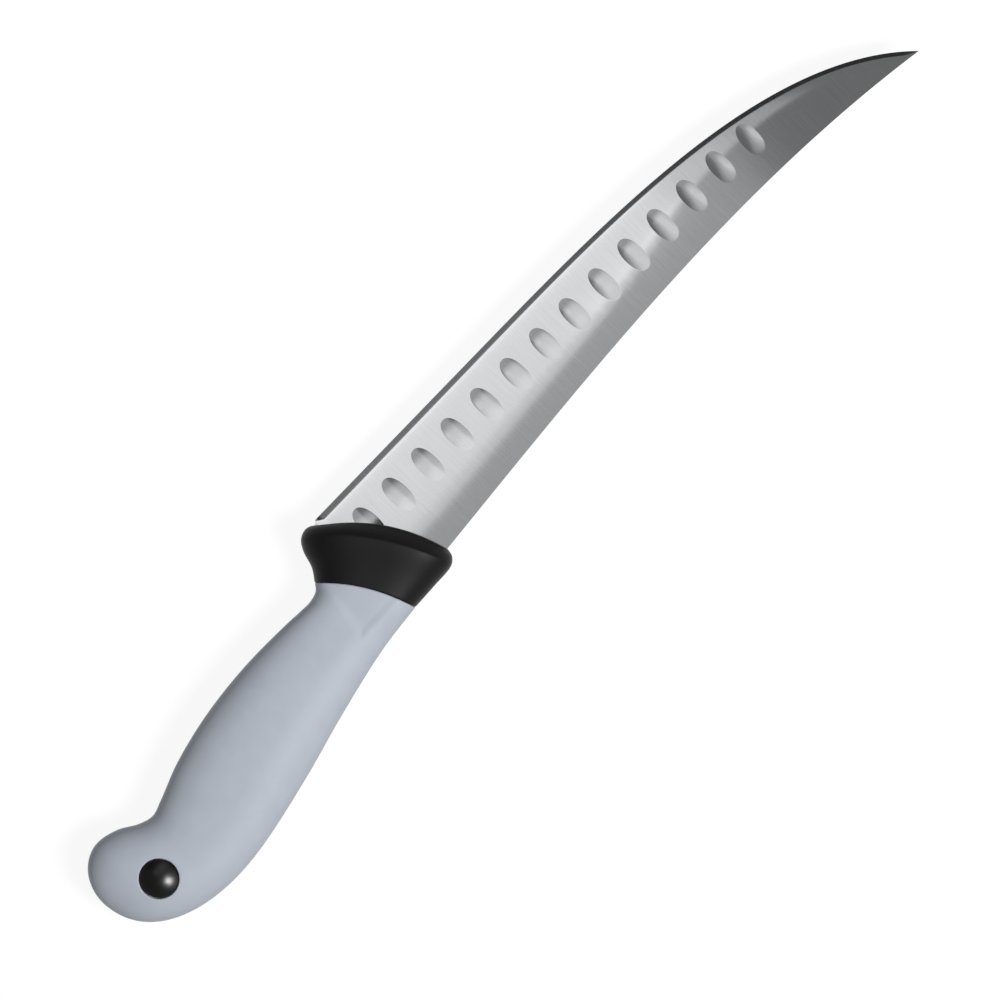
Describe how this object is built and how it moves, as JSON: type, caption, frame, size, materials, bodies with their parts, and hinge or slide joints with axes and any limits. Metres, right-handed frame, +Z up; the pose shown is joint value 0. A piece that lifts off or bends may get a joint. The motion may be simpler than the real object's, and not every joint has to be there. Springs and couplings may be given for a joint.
{
  "type": "butcher knife",
  "caption": "Butcher's trimming knife with a scalloped trailing-point blade, a slanted finger guard and a soft hooked grip riveted to a hidden tang.",
  "frame": {"origin": "under the middle of the knife's box, on the surface it lies on", "axes": "+X runs along the blade to the tip, +Y from the spine to the cutting edge, +Z up off the flat of the blade"},
  "size_m": [0.3482, 0.0568, 0.0256],
  "materials": {
    "blade_steel": "satin ground, brushed from edge to spine",
    "guard_plastic": "satin moulded black",
    "core_plastic": "moulded dark grey, hidden",
    "grip_soft": "fine-grained soft cover, pale blue-grey",
    "rivet_gloss": "polished black"
  },
  "bodies": {
    "root": {"blade": "blade_steel", "guard": "guard_plastic", "core": "core_plastic", "grip": "grip_soft", "rivet_male": "rivet_gloss", "rivet_female": "rivet_gloss"}
  },
  "joints": []
}
